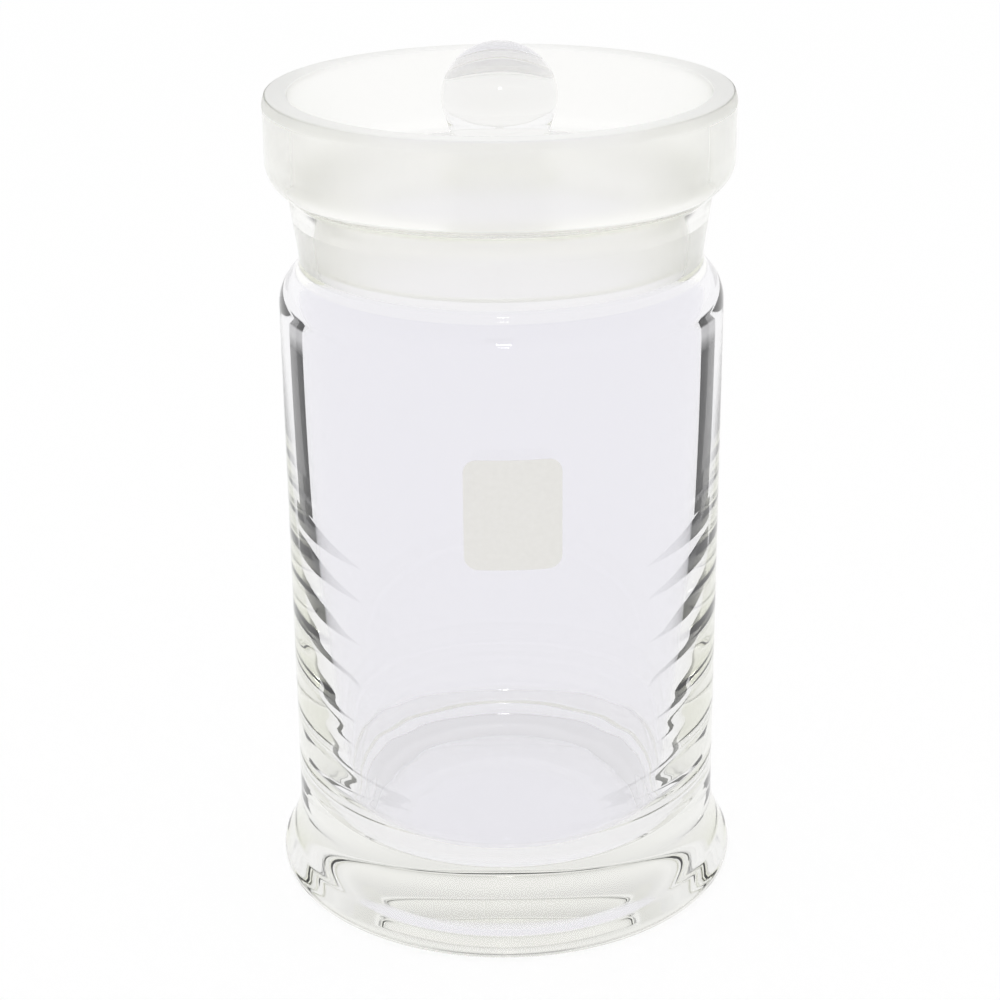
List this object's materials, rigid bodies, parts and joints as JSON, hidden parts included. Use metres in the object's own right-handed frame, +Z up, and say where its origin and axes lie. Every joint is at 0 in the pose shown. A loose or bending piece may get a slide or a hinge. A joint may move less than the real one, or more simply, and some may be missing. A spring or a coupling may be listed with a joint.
{
  "type": "specimen jar",
  "caption": "Tall footed glass specimen jar with a ground conical neck, a bell-shaped collar and a ground stopper with a ball knob.",
  "frame": {"origin": "middle of the foot's resting face, on the jar's axis", "axes": "+Z up along the jar's axis, towards the knob; -Y towards the enamel marking field"},
  "size_m": [0.109, 0.109, 0.1982],
  "materials": {
    "clear_glass": "fire-polished clear borosilicate glass",
    "ground_glass": "clear outside, finely ground matt inside and on the rim",
    "stopper_ground": "finely ground matt cone, clear top",
    "stopper_clear": "fire-polished clear borosilicate glass",
    "enamel": "thin fired beige-white ceramic enamel"
  },
  "bodies": {
    "jar": {"foot": "clear_glass", "body": "clear_glass", "shoulder": "clear_glass", "neck": "ground_glass", "collar": "ground_glass", "marking_field": "enamel"},
    "stopper": {"stopper_plug": "stopper_ground", "stopper_knob": "stopper_clear"}
  },
  "joints": [
    {"name": "stopper_lift", "type": "slide", "parent": "jar", "child": "stopper", "axis": [0, 0, 1], "range_m": [0, 0.045]}
  ]
}
